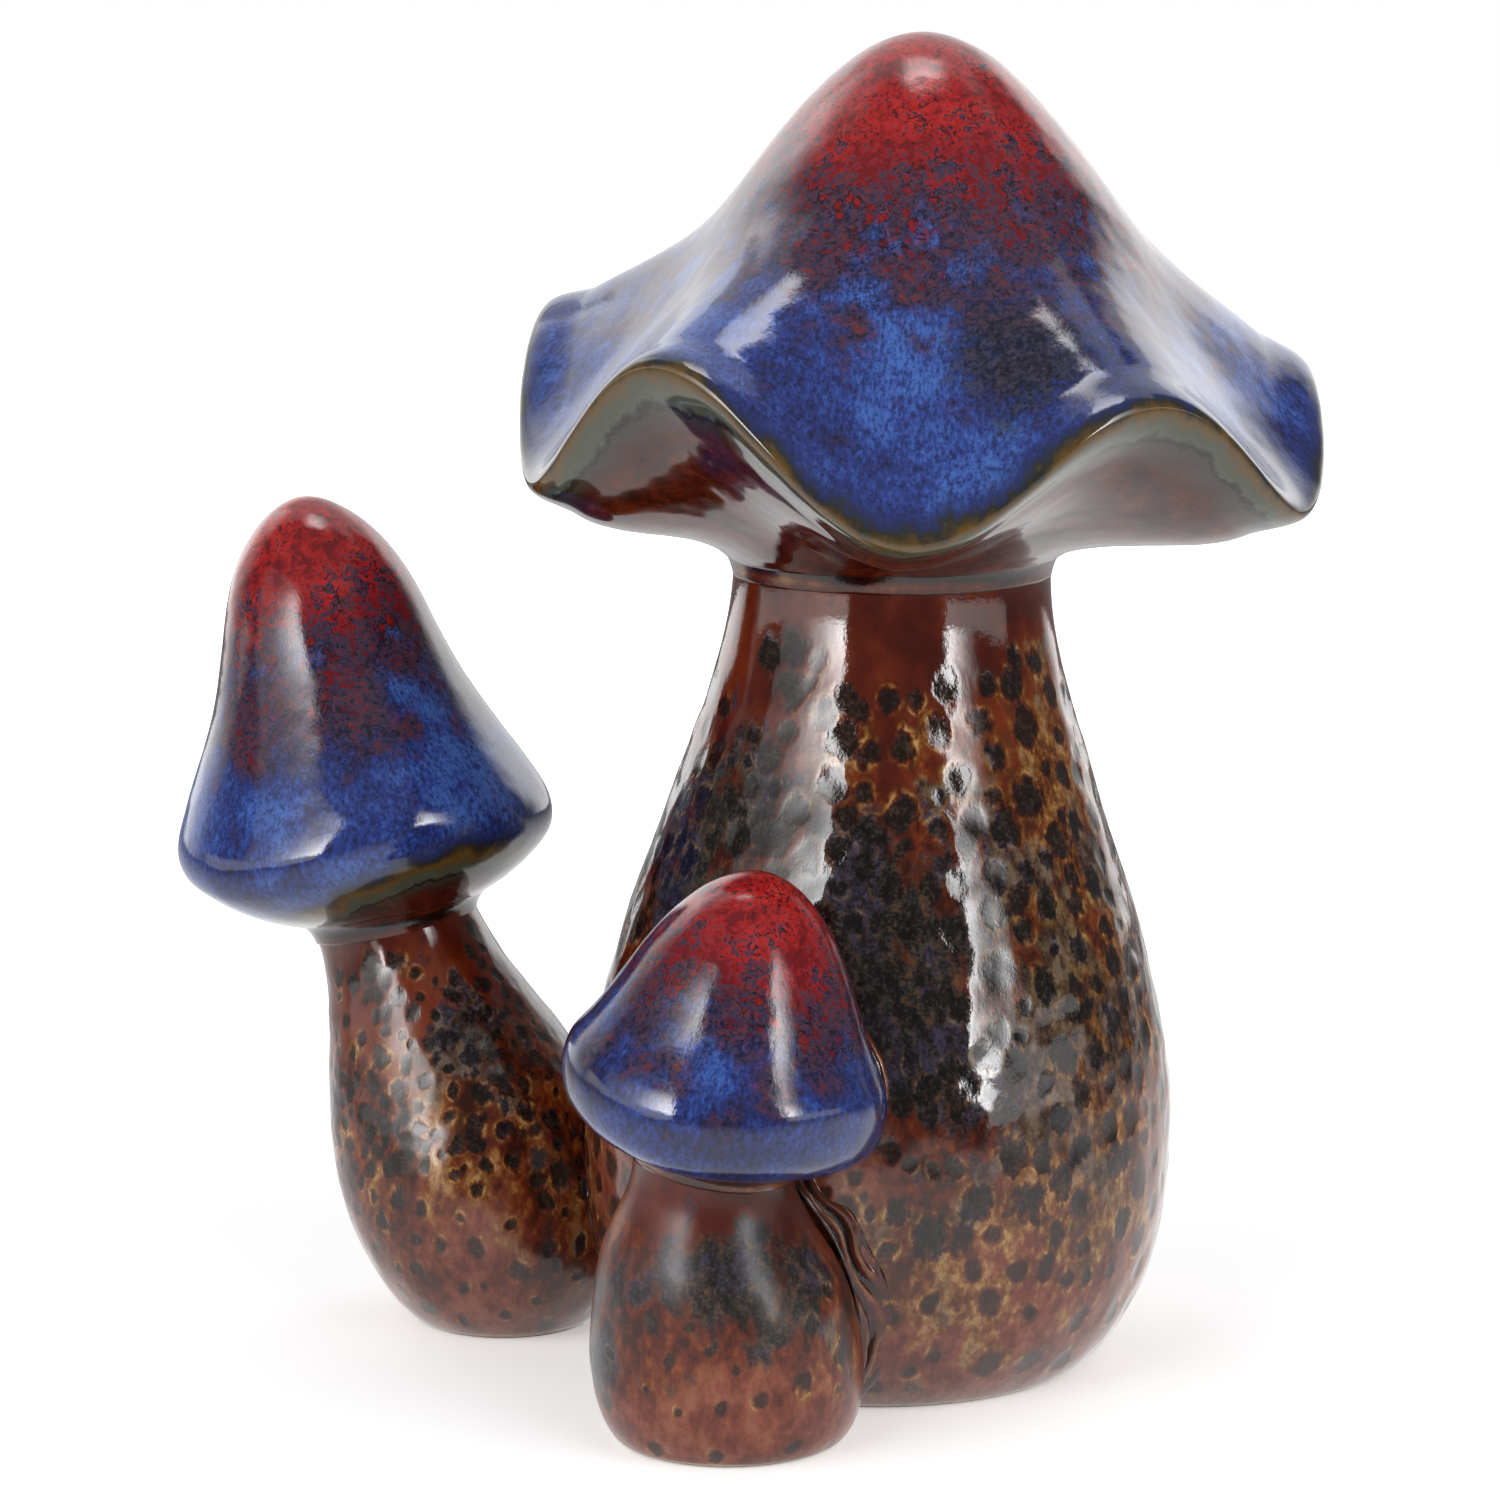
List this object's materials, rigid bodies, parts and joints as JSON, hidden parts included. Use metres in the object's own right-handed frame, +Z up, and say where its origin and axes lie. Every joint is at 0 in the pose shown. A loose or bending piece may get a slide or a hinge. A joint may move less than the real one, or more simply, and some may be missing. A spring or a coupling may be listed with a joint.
{
  "type": "ceramic mushroom ornament",
  "caption": "Glazed ceramic cluster of mushrooms: a tall stem under a wavy-brimmed cap with smaller mushrooms stuck to its side; stands free on its flat feet as an ornament.",
  "frame": {"origin": "centre of the big stem's flat foot, on the ground", "axes": "+Z up, +X to the right seen from the front, +Y away from the front"},
  "size_m": [0.1737, 0.1341, 0.2],
  "materials": {
    "stem_glaze": "gloss",
    "cap_glaze": "gloss",
    "slip_glaze": "gloss"
  },
  "bodies": {
    "root": {"big_stem": "stem_glaze", "big_cap": "cap_glaze", "big_cap_slip": "slip_glaze", "left_stem": "stem_glaze", "left_cap": "cap_glaze", "left_cap_slip": "slip_glaze", "left_stem_slip": "slip_glaze", "front_stem": "stem_glaze", "front_cap": "cap_glaze", "front_cap_slip": "slip_glaze", "front_stem_slip": "slip_glaze", "front_cap_seam": "slip_glaze"}
  },
  "joints": []
}
